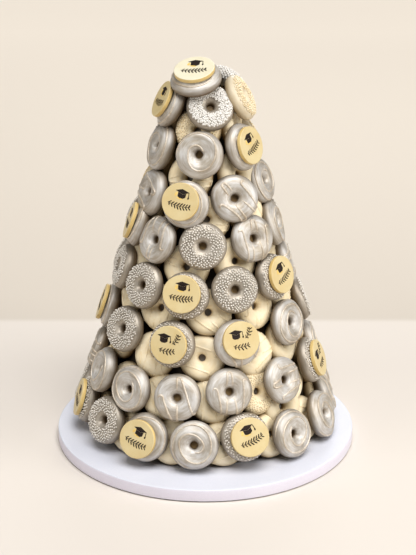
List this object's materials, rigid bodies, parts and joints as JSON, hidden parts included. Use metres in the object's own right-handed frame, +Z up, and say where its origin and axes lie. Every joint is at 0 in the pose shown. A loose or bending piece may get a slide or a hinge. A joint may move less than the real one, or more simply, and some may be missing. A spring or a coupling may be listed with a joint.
{
  "type": "chocolate ring tower",
  "caption": "Tall cone of silver and ivory ring chocolates laid in tiers, some topped with a printed ivory disc, on a round white board.",
  "frame": {"origin": "under the middle of the board, on the surface that it stands on", "axes": "+Z up, the shown front faces -Y, +X to the right of the shown front"},
  "size_m": [0.305, 0.305, 0.3975],
  "materials": {
    "board_covering": "smooth white board covering with a soft sheen",
    "silver_chocolate": "pearly silver lustre over chocolate, swirled, drizzled or covered in fine grains",
    "ivory_chocolate": "satin ivory chocolate"
  },
  "bodies": {
    "root": {"board": "board_covering", "ring_tower": "silver_chocolate", "disc_1": "ivory_chocolate", "disc_2": "ivory_chocolate", "disc_3": "ivory_chocolate", "disc_4": "ivory_chocolate", "disc_5": "ivory_chocolate", "disc_6": "ivory_chocolate", "disc_7": "ivory_chocolate", "disc_8": "ivory_chocolate", "disc_9": "ivory_chocolate", "disc_10": "ivory_chocolate", "disc_11": "ivory_chocolate", "disc_12": "ivory_chocolate", "disc_13": "ivory_chocolate", "disc_14": "ivory_chocolate", "disc_15": "ivory_chocolate", "disc_16": "ivory_chocolate", "disc_17": "ivory_chocolate", "disc_18": "ivory_chocolate", "disc_19": "ivory_chocolate", "disc_20": "ivory_chocolate", "disc_21": "ivory_chocolate", "disc_22": "ivory_chocolate", "disc_23": "ivory_chocolate", "disc_24": "ivory_chocolate", "disc_25": "ivory_chocolate"}
  },
  "joints": []
}
